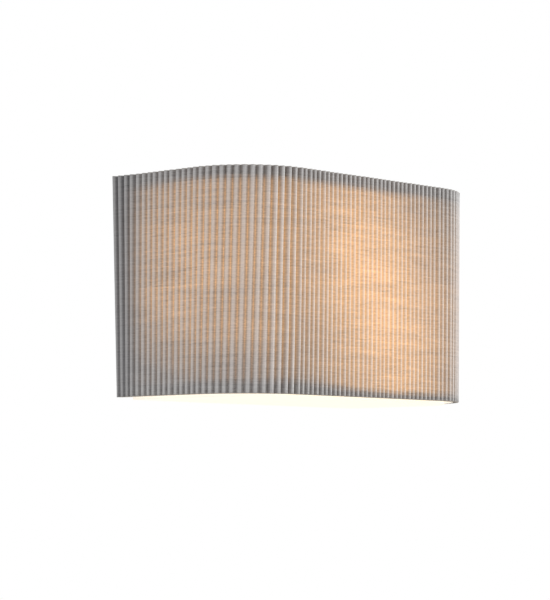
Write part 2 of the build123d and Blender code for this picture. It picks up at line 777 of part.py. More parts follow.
def make_earth_tag():
    """Ring tag on the stud, with its crimp barrel towards the terminal block."""
    rear = -tray_sheet
    front = rear - tag_sheet
    far, near = tag_barrel_span()
    axis = rear - tag_barrel
    tag = rod_y(stud_x, front, rear, stud_height, tag_radius)
    tag += box_between(near - tag_overlap, stud_x, front, rear, stud_height - tag_barrel,
                       stud_height + tag_barrel)
    tag += rod_x(far, near, axis, stud_height, tag_barrel)
    tag -= rod_x(far, near, axis, stud_height, lead_radius + screw_fit)
    return tag - rod_y(stud_x, front, rear, stud_height, stud_radius + tag_hole_fit)


def make_earth_washer():
    high = -tray_sheet - tag_sheet
    washer = rod_y(stud_x, high - washer_thickness, high, stud_height, washer_radius)
    return washer - rod_y(stud_x, high - washer_thickness, high, stud_height, stud_radius + screw_fit)


def make_earth_nut():
    high = -tray_sheet - tag_sheet - washer_thickness
    return hex_y(stud_x, high - nut_thickness, high, stud_height, nut_flats, stud_radius + screw_fit)


def bend_radii(points, largest):
    """One radius for each corner: 0.45 of the shorter run over the tangent of half the turn."""
    radii = []
    for before, corner, after in zip(points, points[1:], points[2:]):
        arriving = Vector(*corner) - Vector(*before)
        leaving = Vector(*after) - Vector(*corner)
        turn = arriving.get_angle(leaving) * pi / 180
        shorter = min(arriving.length, leaving.length)
        radii.append(min(largest, 0.45 * shorter * cos(turn / 2) / sin(turn / 2)))
    return radii


def make_lead(name, points, largest):
    """An insulated lead along a filleted route, with its bare core in the terminal block."""
    radii = bend_radii(points, largest)
    print(name, "least bend radius", round(min(radii), 1), "mm")
    path = FilletPolyline(*points, radius=radii)
    section = Plane(origin=path @ 0, z_dir=path % 0) * Circle(lead_radius)
    x, y, z = points[0]
    return sweep(section, path) + rod_z(x, y, z - core_length, z, core_radius)


def lamp_lead_points(pole_x, side):
    """From a pole, up inside the tray, out through the bush, over the arm and into the nipple."""
    start = block_centre + block_height / 2 - tube_inset
    height = lead_bush_height + side * lead_pitch / 2
    crest = nipple_top + lead_crest + side * lead_pitch / 2
    down = -holder_from_wall - side * lead_pitch / 2
    terminal = -holder_from_wall - side * terminal_spread / 2
    inner = -pole_from_wall
    return [(pole_x, inner, start), (pole_x, inner, height), (0, inner, height),
            (0, -tray_depth - lead_level, height),
            (0, -holder_from_wall + lead_crest_back, crest), (0, down, crest), (0, down, nipple_bottom),
            (0, terminal, block_top + lead_radius), (0, terminal, block_top - lead_into_block)]


def make_live_lead():
    return make_lead("live_lead", lamp_lead_points(pole_places()[0], 1), lead_bend_live)


def make_neutral_lead():
    return make_lead("neutral_lead", lamp_lead_points(pole_places()[2], -1), lead_bend_neutral)


def make_earth_lead():
    x = pole_places()[1]
    start = block_centre + block_height / 2 - tube_inset
    axis = -tray_sheet - tag_barrel
    far, near = tag_barrel_span()
    points = [(x, -pole_from_wall, start), (x, -pole_from_wall, (start + stud_height) / 2),
              ((x + far) / 2, axis - lead_radius, stud_height), (far, axis, stud_height),
              (near, axis, stud_height)]
    return make_lead("earth_lead", points, lead_bend_earth)


# ---------------------------------------------------------------- all pieces
pieces = {
    "back_tray": make_back_tray(),
    "hanging_pegs": make_hanging_pegs(),
    "cover_standoffs": make_standoffs(),
    "cover_plate": make_cover_plate(),
    "cover_screws": make_cover_screws(),
    "cable_bush": make_cable_bush(),
    "lead_bush": make_lead_bush(),
    "terminal_block": make_terminal_block(),
    "terminal_tubes": make_terminal_tubes(),
    "terminal_screws": make_terminal_screws(),
    "terminal_fixing_screws": make_ear_screws(),
    "earth_stud": make_earth_stud(),
    "earth_tag": make_earth_tag(),
    "earth_washer": make_earth_washer(),
    "earth_nut": make_earth_nut(),
    "live_lead": make_live_lead(),
    "neutral_lead": make_neutral_lead(),
    "earth_lead": make_earth_lead(),
    "lamp_arm": make_lamp_arm(),
    "arm_screws": make_arm_screws(),
    "arm_washers": make_arm_washers(),
    "arm_nuts": make_arm_nuts(),
    "holder_nipple": make_nipple(),
    "nipple_nut": make_nipple_nut(),
    "lock_washer": make_lock_washer(),
    "lampholder_cap": make_lampholder_cap(),
    "lampholder_body": make_lampholder_body(),
    "contact_block": make_contact_block(),
    "centre_contact": make_centre_contact(),
    "thread_sleeve": make_thread_sleeve(),
    "pleated_cover": make_pleated_cover(),
    "shade_liner": make_shade_liner(),
    "top_band": make_band(half_height - band_height),
    "bottom_band": make_band(-half_height),
    "upright_left": make_upright(-1),
    "upright_right": make_upright(1),
    "diffuser_ledges": make_ledges(),
    "diffuser": make_diffuser(),
    "bulb_glass": make_bulb_glass(),
    "bulb_cap": make_bulb_cap(),
    "bulb_insulator": make_bulb_insulator(),
    "bulb_contact": make_bulb_contact(),
}

os.makedirs("parts", exist_ok=True)
for name, piece in pieces.items():
    export_step(piece, f"parts/{name}.step")
print("lamp travel", round(bulb_turns * thread_pitch, 3), "mm over", bulb_turns, "turns")
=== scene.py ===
import math
import random

import bmesh
import bpy
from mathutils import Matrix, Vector, noise


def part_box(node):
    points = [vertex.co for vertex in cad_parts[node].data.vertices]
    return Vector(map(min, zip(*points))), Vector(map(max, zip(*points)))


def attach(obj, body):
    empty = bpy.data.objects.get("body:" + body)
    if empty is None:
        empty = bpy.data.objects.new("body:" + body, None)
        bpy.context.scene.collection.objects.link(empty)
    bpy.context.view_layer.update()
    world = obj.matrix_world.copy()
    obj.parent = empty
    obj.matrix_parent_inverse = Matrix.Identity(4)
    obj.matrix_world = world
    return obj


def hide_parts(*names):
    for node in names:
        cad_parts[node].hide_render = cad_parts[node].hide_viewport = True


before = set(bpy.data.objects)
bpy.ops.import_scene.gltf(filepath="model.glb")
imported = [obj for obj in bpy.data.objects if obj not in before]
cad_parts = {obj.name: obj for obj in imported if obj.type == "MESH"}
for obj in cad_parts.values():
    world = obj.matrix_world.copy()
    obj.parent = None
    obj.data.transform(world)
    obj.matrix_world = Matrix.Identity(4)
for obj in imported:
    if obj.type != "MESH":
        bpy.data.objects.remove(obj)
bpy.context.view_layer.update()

bl_info = {
    "name": "Pleated wall light",
    "version": (1, 0, 0),
    "blender": (4, 5, 0),
    "location": "3D View > Sidebar > Wall light",
    "description": "Dresses the wall light: pleated linen shade, opal diffuser, lamp, steelwork and stage",
    "category": "Object",
}

MM = 0.001
SEED = 20


def linear(hex_colour, alpha=1.0):
    """An sRGB hex colour as linear RGBA."""
    channels = []
    for first in (1, 3, 5):
        value = int(hex_colour[first:first + 2], 16) / 255
        channels.append(value / 12.92 if value <= 0.04045 else ((value + 0.055) / 1.055) ** 2.4)
    return (*channels, alpha)


def size(name, description, value):
    return bpy.props.FloatProperty(name=name, description=description, default=value,
                                   unit="LENGTH", precision=5)


def colour(name, description, hex_colour):
    return bpy.props.FloatVectorProperty(name=name, description=description, size=4, subtype="COLOR",
                                         min=0, max=1, default=linear(hex_colour))


def count(name, description, value):
    return bpy.props.IntProperty(name=name, description=description, default=value, min=1)


def factor(name, description, value, low=0.0, high=1.0):
    return bpy.props.FloatProperty(name=name, description=description, default=value,
                                   min=low, max=high, subtype="FACTOR")


def amount(name, description, value):
    return bpy.props.FloatProperty(name=name, description=description, default=value, min=0)


def angle(name, description, degrees):
    return bpy.props.FloatProperty(name=name, description=description, default=math.radians(degrees),
                                   subtype="ANGLE", unit="ROTATION")


# ---------------------------------------------------------------- what the frame gives
COVER_LOW, COVER_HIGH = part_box("pleated_cover")
BULB_LOW, BULB_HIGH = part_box("bulb_glass")
BAND_LOW, BAND_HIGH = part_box("top_band")
UPRIGHT_LOW, UPRIGHT_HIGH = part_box("upright_left")
BULB_RADIUS = (BULB_HIGH[0] - BULB_LOW[0]) / 2
BULB_CENTRE = Vector(((BULB_LOW[0] + BULB_HIGH[0]) / 2, (BULB_LOW[1] + BULB_HIGH[1]) / 2,
                      BULB_LOW[2] + BULB_RADIUS))
HALF_WIDTH = COVER_HIGH[0]
DEPTH = -COVER_LOW[1]
WALL_GAP = -COVER_HIGH[1]
TOP = COVER_HIGH[2]
BOTTOM = COVER_LOW[2]
HEM = BAND_HIGH[2] - BAND_LOW[2]
END_STRIP = UPRIGHT_HIGH[1] - UPRIGHT_LOW[1]


# ---------------------------------------------------------------- settings
class ClothSettings(bpy.types.PropertyGroup):
    corner_radius: size("Corner radius", "Plan radius of the shade's front corners over the crests", 60 * MM)
    fold_depth: size("Fold depth", "From the crest of a pleat to its valley", 4 * MM)
    ease: factor("Ease", "How much shallower the folds are on the sides and corners", 0.40, high=0.8)
    thickness: size("Cloth thickness", "Thickness of the linen", 0.45 * MM)
    lean: size("Lean", "How far the folds drift towards the left end at the shade's foot", 4.6 * MM)
    flare: size("Flare", "How far the crests stand out at the top and draw in at the foot", 0.9 * MM)
    splay: size("Splay", "The same for the left rear crests, on top of the flare", 2.2 * MM)
    jitter: size("Unevenness", "Spread of the pleats' spacing", 0.22 * MM)
    wander: size("Wander", "How far one fold drifts sideways down its height", 0.25 * MM)
    side_pleats: count("Side pleats", "Pleats on each straight side", 14)
    corner_pleats: count("Corner pleats", "Pleats round each corner", 15)
    front_pleats: count("Front pleats", "Pleats on the straight front", 33)
    fold_steps: count("Fold steps", "Faces across one pleat", 14)
    rows: count("Rows", "Faces up the height of the cloth", 24)
    turned_in: count("End steps", "Faces across each turned-in end", 4)
    sharpness: factor("Sharpness", "1 is a knife pleat, 0 a soft wave", 0.985, low=0.1, high=0.999)
    crown: factor("Crown", "How broad the crests are, and how tight the valleys", 0.55)
    # Painted light and shade: the crest colour is a painted highlight where the crests catch the room light,
    # the valley colour is painted shade deep in the folds, and the slope colour lies between them
    crest: colour("Crests", "Colour of the linen on the crests, rubbed and pressed pale", "#d8d6d5")
    slope: colour("Slopes", "Colour of the linen between crest and valley", "#a8a4a2")
    valley: colour("Valleys", "Colour of the linen deep in the folds", "#6d6259")
    slub: colour("Slub", "Colour of the thicker, darker threads", "#6f6a68")
    # Painted shade: the linen is greyed over the steel uprights, which keep the lamplight from the cloth
    upright_shade: colour("Over steel", "Colour that the linen takes over the steel uprights", "#5a5e66")
    fray: colour("Cut edge", "Colour of the cut edge of the cloth", "#b5aea6")


class LightSettings(bpy.types.PropertyGroup):
    through_cloth: colour("Through the cloth", "Colour of the lamplight that has passed the linen", "#ffbd72")
    on_lining: colour("On the lining", "Colour of the lamplight inside the shade", "#ffd9a6")
    through_opal: colour("Through the opal", "Colour of the lamplight under the diffuser", "#fff1d2")
    opal_rim: colour("Rim of the opal", "Colour of the lamplight at the diffuser's rim", "#efe3d9")
    lamp: colour("Lamp", "Colour of the lit globe", "#fff0d8")
    near_opal: colour("Near the opal", "Colour of the lamplight on the steel round the diffuser", "#fff0e2")
    ambient: amount("Even glow", "Strength of the even part of the glow", 0.35)
    direct: amount("Near glow", "Strength of the glow in front of the lamp", 0.42)
    opal_below: amount("Opal from below", "Strength of the diffuser's glow on its underside and rim", 0.55)
    opal_above: amount("Opal from above", "Strength on its upper side, which the lamp itself lights", 0.12)
    globe: amount("Globe", "Strength of the lit lamp", 1.6)
    band: amount("Foot", "Strength of the glow on the steel round the diffuser", 0.32)


class StageSettings(bpy.types.PropertyGroup):
    camera_place: bpy.props.FloatVectorProperty(
        name="Camera", description="Where the camera stands", size=3, subtype="TRANSLATION", unit="LENGTH",
        default=(-1583.0 * MM, -1475.7 * MM, -172.0 * MM))
    heading: angle("Heading", "Camera's turn from +Y towards +X", 47.79)
    tilt: angle("Tilt", "Camera's upward tilt", 4.484)
    lens: amount("Lens", "Focal length in millimetres on a 36 mm sensor", 152.0)
    floor_drop: size("Floor drop", "Floor below the shade", 420 * MM)
    key: amount("Key", "Power of the front softbox in watts", 60.0)
    fill: amount("Fill", "Power of the left softbox in watts", 5.0)
    sky: amount("Room light", "Strength of the even room light", 0.535)


# ---------------------------------------------------------------- node and mesh helpers
SMOOTH = {"interpolation_type": "SMOOTHSTEP"}       # makes a Map Range node ease in and out
MIX_A, MIX_B = 6, 7                                 # a Mix node's sockets for its two colours


def connect(tree, node, sockets):
    """Sets a node's sockets, by name or number; a node or socket that is given is linked."""
    for socket, source in sockets.items():
        if isinstance(source, bpy.types.Node):
            source = next(output for output in source.outputs if output.enabled)
        if isinstance(source, bpy.types.NodeSocket):
            tree.links.new(source, node.inputs[socket])
        else:
            node.inputs[socket].default_value = source


def add_node(tree, kind, *values, sockets=None, **settings):
    """Adds a shader node with its settings; the values go into its first sockets, in order."""
    made = tree.nodes.new("ShaderNode" + kind)
    for key, value in settings.items():
        setattr(made, key, value)
    connect(tree, made, dict(enumerate(values)))
    connect(tree, made, sockets or {})
    return made


def new_material(name, base=None, roughness=0.5, metallic=0.0, **sockets):
    """A Principled material; returns it with its tree, its shader and the Object coordinates."""
    material = bpy.data.materials.new(name)
    material.use_nodes = True
    tree = material.node_tree
    shader = tree.nodes["Principled BSDF"]
    if base is not None:
        shader.inputs["Base Color"].default_value = base
    shader.inputs["Roughness"].default_value = roughness
    shader.inputs["Metallic"].default_value = metallic
    for socket, value in sockets.items():
        shader.inputs[socket.replace("_", " ")].default_value = value
    return material, tree, shader, add_node(tree, "TexCoord").outputs["Object"]


def summed(tree, start, *parts):
    """start plus each value times its share."""
    total = start
    for value, share in parts:
        total = add_node(tree, "Math", value, share, total, operation="MULTIPLY_ADD")
    return total


def product(tree, first, *others):
    """The first value times each of the others."""
    total = first
    for other in others:
        total = add_node(tree, "Math", total, other, operation="MULTIPLY")
    return total


def layered(tree, ground, *layers):
    """A colour with others laid over it in turn, each by its share."""
    for share, tint in layers:
        ground = add_node(tree, "Mix", share, sockets={MIX_A: ground, MIX_B: tint}, data_type="RGBA")
    return ground


def uneven(tree, where, *extents, detail=2.0, roughness=0.5):
    """Noise from 0 to 1 in patches of a real size: one for all three axes, or one for each."""
    scales = [1 / extent for extent in (extents if len(extents) == 3 else extents * 3)]
    patches = add_node(tree, "Mapping", where, sockets={"Scale": scales})
    return add_node(tree, "TexNoise", patches,
                    sockets={"Scale": 1.0, "Detail": detail, "Roughness": roughness})


def glowing(tree, shader, tint, strength, times=1.0):
    """Makes a shader glow with a tint, by a strength that varies over the piece."""
    warm = add_node(tree, "VectorMath", tint[:3], sockets={"Scale": strength}, operation="SCALE")
    connect(tree, shader, {"Emission Color": warm, "Emission Strength": times})


def dress(material, *nodes):
    """Gives CAD nodes a finished material."""
    for name in nodes:
        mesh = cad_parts[name].data
        if not mesh.materials:
            mesh.materials.append(material)
        for number in range(len(mesh.materials)):
            mesh.materials[number] = material


def object_from(bm, name, material, body):
    """Finishes a bmesh as a piece of the object that rides on a body."""
    mesh = bpy.data.meshes.new(name)
    bm.to_mesh(mesh)
    bm.free()
    for face in mesh.polygons:
        face.use_smooth = True
    mesh.materials.append(material)
    piece = bpy.data.objects.new(name, mesh)
    bpy.context.scene.collection.objects.link(piece)
    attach(piece, body)
    return piece


# ---------------------------------------------------------------- glow of the lamp
def from_lamp(tree, here):
    """Distance from the middle of the lamp's globe."""
    return add_node(tree, "VectorMath", here, BULB_CENTRE, operation="DISTANCE")


def lamp_reach(tree, here):
    """How strongly a point of the shade is lit by the lamp: 1 at the nearest point of the front."""
    nearest = DEPTH + BULB_CENTRE[1]
    closeness = add_node(tree, "Math", nearest, from_lamp(tree, here), operation="DIVIDE")
    return add_node(tree, "Math", closeness, 2.0, operation="POWER")


def away(tree, value, centre, reach):
    """The square of how many reaches a value is from a centre."""
    distance = add_node(tree, "Math", value, centre, operation="SUBTRACT")
    reaches = add_node(tree, "Math", distance, reach, operation="DIVIDE")
    return product(tree, reaches, reaches)


def faded(tree, squared):
    """1 where a squared distance is 0, fading out to 0."""
    return add_node(tree, "Math", product(tree, squared, -1.0), operation="EXPONENT")


# Places on the cloth: run along it from the middle of its front, and height from its middle
EVEN_AT, EVEN_REACH = (-90 * MM, 16 * MM), 422 * MM
EVEN_HOLDS_FROM = 95 * MM
EVEN_REACH_UP = (170 * MM, 220 * MM)       # on the left side, and from the left corner on
LEFT_CORNER = (-230 * MM, -120 * MM)
DIP_AT, DIP_REACH, DIP = -112 * MM, 62 * MM, 0.07
LIFTED_SIDE, LIFT = (-200 * MM, -150 * MM), 0.05
STREAK_AT, STREAK_REACH, STREAK_LEAN = (37.9 * MM, -68.6 * MM), (75 * MM, 170 * MM), 0.319
LEAST_GLOW = 0.03


def cloth_glow(tree, run, height, light):
    """Glow of the shade: broad and even, less at its foot and ends, with a leaning bright streak by the lamp.

    run is the distance along the cloth from the middle of its front. The left side is dimmer at its foot,
    and the left corner is a little dimmer than what lies either side of it.
    """
    held = add_node(tree, "Math", run, EVEN_HOLDS_FROM, operation="MINIMUM")
    reach_up = add_node(tree, "MapRange", run, *LEFT_CORNER, *EVEN_REACH_UP, **SMOOTH)
    dip = faded(tree, away(tree, run, DIP_AT, DIP_REACH))
    lift = add_node(tree, "MapRange", run, *LIFTED_SIDE, LIFT, 0.0, **SMOOTH)
    even = summed(tree, light.ambient, (away(tree, held, EVEN_AT[0], EVEN_REACH), -1.0),
                  (away(tree, height, EVEN_AT[1], reach_up), -1.0), (dip, -DIP), (lift, 1.0))
    above = add_node(tree, "Math", height, STREAK_AT[1], operation="SUBTRACT")
    leaning = summed(tree, run, (above, STREAK_LEAN))
    far = summed(tree, away(tree, leaning, STREAK_AT[0], STREAK_REACH[0]),
                 (away(tree, height, STREAK_AT[1], STREAK_REACH[1]), 1.0))
    lit = summed(tree, even, (faded(tree, far), light.direct))
    return add_node(tree, "Math", lit, LEAST_GLOW, operation="MAXIMUM")


# ---------------------------------------------------------------- materials
# Where the steel behind the cloth casts shade, from the inner edge of an upright or of a band; over the
# uprights that shade is also painted into the linen's colour
PAINTED_SHADE_BY_UPRIGHT = (-14 * MM, 13 * MM)
SHADED_BY_UPRIGHT = (-14 * MM, 23 * MM)
SHADED_BY_BAND = (-6 * MM, 2.5 * MM)
RAGGED = 4 * MM            # how far the edge of a band's shadow wanders
SLIP = 5 * MM              # how much further down the light slips on the lamp's side
CUT_EDGE = (-0.9 * MM, -0.2 * MM)          # where the cloth frays, from its top or foot


def woven(tree, uv, length, height, detail=1.0, roughness=0.5):
    """Unevenness of the weave in patches of a length along the cloth and a height."""
    return uneven(tree, uv, length, height, 1.0, detail=detail, roughness=roughness)


def linen_material(cloth, light, reach_of_cloth):
    """Undyed grey linen in knife pleats: matt, slubbed across the folds, glowing where lamplight passes.

    The eye sees grey crests lit by the room, orange light in the valleys, and thick weft threads as
    darker streaks that run level round the shade. The steel bands and uprights behind it stay dark.
    """
    material, tree, shader, here = new_material("linen_pleated", roughness=0.92, Sheen_Weight=0.25,
                                                Sheen_Roughness=0.5, Specular_IOR_Level=0.2)
    uv = add_node(tree, "UVMap", uv_map="cloth")
    fold, run, nook = (add_node(tree, "Attribute", attribute_name=name).outputs["Fac"]
                       for name in ("fold", "run", "nook"))
    height = add_node(tree, "SeparateXYZ", here).outputs["Z"]
    from_middle = add_node(tree, "Math", height, operation="ABSOLUTE")
    to_end = summed(tree, reach_of_cloth, (add_node(tree, "Math", run, operation="ABSOLUTE"), -1.0))
    # Weft threads about 0.9 mm apart, drawn 1.5 mm apart so that they show, in slubs 60 mm long
    weft = woven(tree, uv, 60 * MM, 1.5 * MM, 3.0, 0.6)
    # Broad streaks where several thin or thick threads lie together, 7 mm tall and 120 mm long
    streak = woven(tree, uv, 120 * MM, 7 * MM, 2.0)
    # Uneven packing of the weave, in clouds 150 mm long and 35 mm tall
    cloud = woven(tree, uv, 150 * MM, 35 * MM)
    # Warp threads run up the folds, 1.2 mm apart
    warp = woven(tree, uv, 1.2 * MM, 50 * MM)
    # The threads' own crossings, drawn 3.5 mm long and 1.1 mm tall
    dash = woven(tree, uv, 3.5 * MM, 1.1 * MM)
    # Single thick slubs about 45 mm long and 1.4 mm tall, soft at their ends
    knots = add_node(tree, "MapRange", woven(tree, uv, 45 * MM, 1.4 * MM, 0.0), 0.70, 0.95, **SMOOTH)
    threads = summed(tree, 0.0, (weft, 0.5), (dash, 0.35), (warp, 0.15))

    # Colour: painted shade darkens the valleys to grey-brown and a painted highlight makes the crests pale,
    # with darker slubs, and painted shade greys the cloth where the steel uprights lie behind
    out_of_valley = add_node(tree, "MapRange", fold, 0.0, 0.55)
    on_crest = add_node(tree, "MapRange", fold, 0.70, 0.96, **SMOOTH)
    rough = add_node(tree, "MapRange", on_crest, 0.0, 1.0, 0.68, 0.25)
    tone = add_node(tree, "MapRange", threads, 0.34, 0.66)
    edge = add_node(tree, "MapRange", from_middle, TOP + CUT_EDGE[0], TOP + CUT_EDGE[1], 0.0, 0.8, **SMOOTH)
    # Painted shade over the uprights, less on the crests
    upright_shade = add_node(tree, "MapRange", to_end, END_STRIP + PAINTED_SHADE_BY_UPRIGHT[0],
                      END_STRIP + PAINTED_SHADE_BY_UPRIGHT[1], 0.46, 0.0, **SMOOTH)
    less_on_crest = add_node(tree, "MapRange", on_crest, 0.0, 1.0, 1.0, 0.62)
    # Painted shade in the valleys and a painted highlight on the crests, then the slubs, the cut edge and the
    # painted shade over the uprights
    base = layered(tree, cloth.valley, (out_of_valley, cloth.slope), (on_crest, cloth.crest),
                   (product(tree, tone, rough), cloth.slub), (product(tree, knots, rough), cloth.slub),
                   (edge, cloth.fray), (product(tree, upright_shade, less_on_crest), cloth.upright_shade))

    # Light that gets through: most where a fold touches the lining, least at the crests
    passing = add_node(tree, "MapRange", fold, 0.45, 0.97, 1.05, 0.60, **SMOOTH)
    towards_lamp = add_node(tree, "MapRange", run, -120 * MM, -70 * MM, 1.0, 1.06, **SMOOTH)
    in_nook = add_node(tree, "MapRange", nook, 0.1, 0.7, **SMOOTH)
    passing = summed(tree, product(tree, passing, towards_lamp), (in_nook, 0.50))
    # Almost none passes the bands, whose shadow has a ragged edge, or the uprights
    slip = product(tree, add_node(tree, "MapRange", run, -100 * MM, 10 * MM, **SMOOTH),
                   add_node(tree, "MapRange", height, -20 * MM, 20 * MM, SLIP, 0.0, **SMOOTH))
    wandering = add_node(tree, "Math", weft, 0.5, operation="SUBTRACT")
    ragged = summed(tree, from_middle, (wandering, RAGGED), (slip, -1.0))
    hem = add_node(tree, "MapRange", ragged, TOP - HEM + SHADED_BY_BAND[0],
                   TOP - HEM + SHADED_BY_BAND[1], 1.0, 0.05, **SMOOTH)
    end = add_node(tree, "MapRange", to_end, END_STRIP + SHADED_BY_UPRIGHT[0],
                   END_STRIP + SHADED_BY_UPRIGHT[1], 0.03, 1.0, **SMOOTH)
    # The weave shows most on the left, where the light is even
    shares = ((weft, 0.5), (dash, 0.6), (streak, 0.8), (cloud, 0.4))
    thinner = summed(tree, 0.5 * sum(share for _, share in shares),
                     *((value, -share) for value, share in shares), (knots, -0.15))
    contrast = add_node(tree, "MapRange", run, -180 * MM, -60 * MM, 1.55, 1.0, **SMOOTH)
    weave = summed(tree, 1.0, (thinner, contrast))
    glowing(tree, shader, light.through_cloth,
            product(tree, cloth_glow(tree, run, height, light), passing, hem, end, weave))
    material.cycles.emission_sampling = "NONE"
    relief = add_node(tree, "Bump", sockets={"Height": summed(tree, threads, (knots, 1.0)),
                                             "Distance": 0.25 * MM, "Strength": 0.4})
    connect(tree, shader, {"Base Color": base, "Normal": relief})
    return material


def lining_material(light):
    """Translucent lining film: smooth and slightly glossy, warm where the lamp shines on it."""
    material, tree, shader, here = new_material("lining_film", linear("#ece6da"), roughness=0.38)
    haze = uneven(tree, here, 16.67 * MM)
    strength = product(tree, summed(tree, 0.10, (lamp_reach(tree, here), 0.20)),
                       add_node(tree, "MapRange", haze, 0.3, 0.7, 0.95, 1.05, **SMOOTH))
    glowing(tree, shader, light.on_lining, strength)
    material.cycles.emission_sampling = "NONE"
    relief = add_node(tree, "Bump", sockets={"Height": haze, "Distance": 0.3 * MM, "Strength": 0.3})
    connect(tree, shader, {"Normal": relief})
    return material


def opal_material(light):
    """Opal acrylic, vacuum formed: glossy white, glowing evenly below, whiter and dimmer at its rim.

    Its upper side glows less, since the lamp itself lights it.
    """
    material, tree, shader, here = new_material("opal_acrylic", linear("#ece7dc"), roughness=0.28)
    far = add_node(tree, "MapRange", from_lamp(tree, here), 115 * MM, 165 * MM, **SMOOTH)
    facing = add_node(tree, "SeparateXYZ", add_node(tree, "NewGeometry").outputs["Normal"]).outputs["Z"]
    strength = add_node(tree, "MapRange", facing, 0.2, 0.8, light.opal_below, light.opal_above, **SMOOTH)
    material.cycles.emission_sampling = "NONE"
    ripple = uneven(tree, here, 1.111 * MM, detail=1.0)
    relief = add_node(tree, "Bump", sockets={"Height": ripple, "Distance": 0.05 * MM, "Strength": 0.25})
    connect(tree, shader, {"Emission Color": layered(tree, light.through_opal, (far, light.opal_rim)),
                           "Emission Strength": strength, "Normal": relief})
    return material


def powder_coat_material(name, hex_colour, light, lit=0.0):
    """White powder coat on folded steel: satin, with a fine orange peel about 1.4 mm across.

    lit is the strength of the glow on pieces that lie against the diffuser.
    """
    material, tree, shader, here = new_material(name, roughness=0.42)
    peel = uneven(tree, here, 1.429 * MM)
    dust = uneven(tree, here, 40 * MM, detail=3.0)
    dusty = add_node(tree, "MapRange", dust, 0.35, 0.7, 0.0, 0.25, **SMOOTH)
    relief = add_node(tree, "Bump", sockets={"Height": peel, "Distance": 0.06 * MM, "Strength": 0.5})
    connect(tree, shader, {"Base Color": layered(tree, linear(hex_colour), (dusty, linear("#cfcdc6"))),
                           "Roughness": add_node(tree, "MapRange", peel, 0.3, 0.7, 0.36, 0.5, **SMOOTH),
                           "Normal": relief, "Emission Color": light.near_opal, "Emission Strength": lit})
    material.cycles.emission_sampling = "NONE"
    return material


def deeper(hex_colour, share):
    """A hex colour in linear RGBA, darkened to a share of itself."""
    return (*(channel * share for channel in linear(hex_colour)[:3]), 1.0)


def plated_material(name, hex_colour, roughness, scratch=0.12):
    """Plated or drawn metal: fine streaks in its gloss, with slightly duller patches."""
    material, tree, shader, here = new_material(name, roughness=roughness, metallic=1.0)
    dull = add_node(tree, "MapRange", uneven(tree, here, 11.11 * MM, detail=3.0), 0.35, 0.7, **SMOOTH)
    streaks = uneven(tree, here, 1.111 * MM, 1.111 * MM, 0.2 * MM)
    gloss = add_node(tree, "MapRange", streaks, 0.3, 0.7, roughness - scratch, roughness + scratch, **SMOOTH)
    relief = add_node(tree, "Bump", sockets={"Height": streaks, "Distance": 0.02 * MM, "Strength": 0.4})
    connect(tree, shader, {"Base Color": layered(tree, linear(hex_colour), (dull, deeper(hex_colour, 0.82))),
                           "Roughness": gloss, "Normal": relief})
    return material


def moulded_material(name, hex_colour, roughness=0.5):
    """Moulded plastic: even colour with the faint pebble of a spark-eroded mould, 0.4 mm across."""
    material, tree, shader, here = new_material(name, roughness=roughness)
    flow = add_node(tree, "MapRange", uneven(tree, here, 25 * MM), 0.35, 0.7, **SMOOTH)
    pebble = uneven(tree, here, 0.4 * MM)
    relief = add_node(tree, "Bump", sockets={"Height": pebble, "Distance": 0.03 * MM, "Strength": 0.4})
    connect(tree, shader, {"Base Color": layered(tree, linear(hex_colour), (flow, deeper(hex_colour, 0.9))),
                           "Normal": relief})
    return material


def glazed_material():
    """Glazed porcelain: white and glossy over a slightly uneven body."""
    material, tree, shader, here = new_material("porcelain_glazed", linear("#efece3"), roughness=0.15,
                                                Coat_Weight=0.4)
    relief = add_node(tree, "Bump", sockets={"Height": uneven(tree, here, 3.333 * MM),
                                             "Distance": 0.05 * MM, "Strength": 0.4})
    connect(tree, shader, {"Normal": relief})
    return material


def vitreous_material():
    """Black vitreous enamel between the lamp's cap and its tip."""
    material, tree, shader, here = new_material("vitreous_black", linear("#15120f"), roughness=0.2)
    relief = add_node(tree, "Bump", sockets={"Height": uneven(tree, here, 2 * MM),
                                             "Distance": 0.05 * MM, "Strength": 0.4})
    connect(tree, shader, {"Normal": relief})
    return material


STRIPE_FACES = (0.77, -0.25, 0.58)         # the side of the earth lead that its yellow stripe is on


def two_colour_insulation():
    """Extruded insulation: a green stripe along one side of the yellow lead, with a moulded-in sheen."""
    material, tree, shader, here = new_material("insulation_earth", roughness=0.45)
    facing = add_node(tree, "VectorMath", add_node(tree, "NewGeometry").outputs["Normal"], STRIPE_FACES,
                      operation="DOT_PRODUCT")
    stripe = add_node(tree, "MapRange", facing, -0.04, 0.04, **SMOOTH)
    relief = add_node(tree, "Bump", sockets={"Height": uneven(tree, here, 1.111 * MM),
                                             "Distance": 0.03 * MM, "Strength": 0.3})
    connect(tree, shader, {"Base Color": layered(tree, linear("#3f8f3a"), (stripe, linear("#d9cf3a"))),
                           "Normal": relief})
    return material


def lit_glass_material(light):
    """Frosted lamp glass, lit: brightest at the middle of the globe, dimmer up its neck."""
    material, tree, shader, here = new_material("lamp_glass_lit", linear("#f6f2ea"), roughness=0.3)
    height = add_node(tree, "SeparateXYZ", here).outputs["Z"]
    neck = add_node(tree, "MapRange", height, BULB_CENTRE[2] + 0.5 * BULB_RADIUS, BULB_HIGH[2], 1.0, 0.25,
                    **SMOOTH)
    frost = add_node(tree, "MapRange", uneven(tree, here, 0.8333 * MM, detail=1.0), 0.3, 0.7, 0.97, 1.03,
                     **SMOOTH)
    glowing(tree, shader, light.lamp, product(tree, neck, frost), light.globe)
    return material


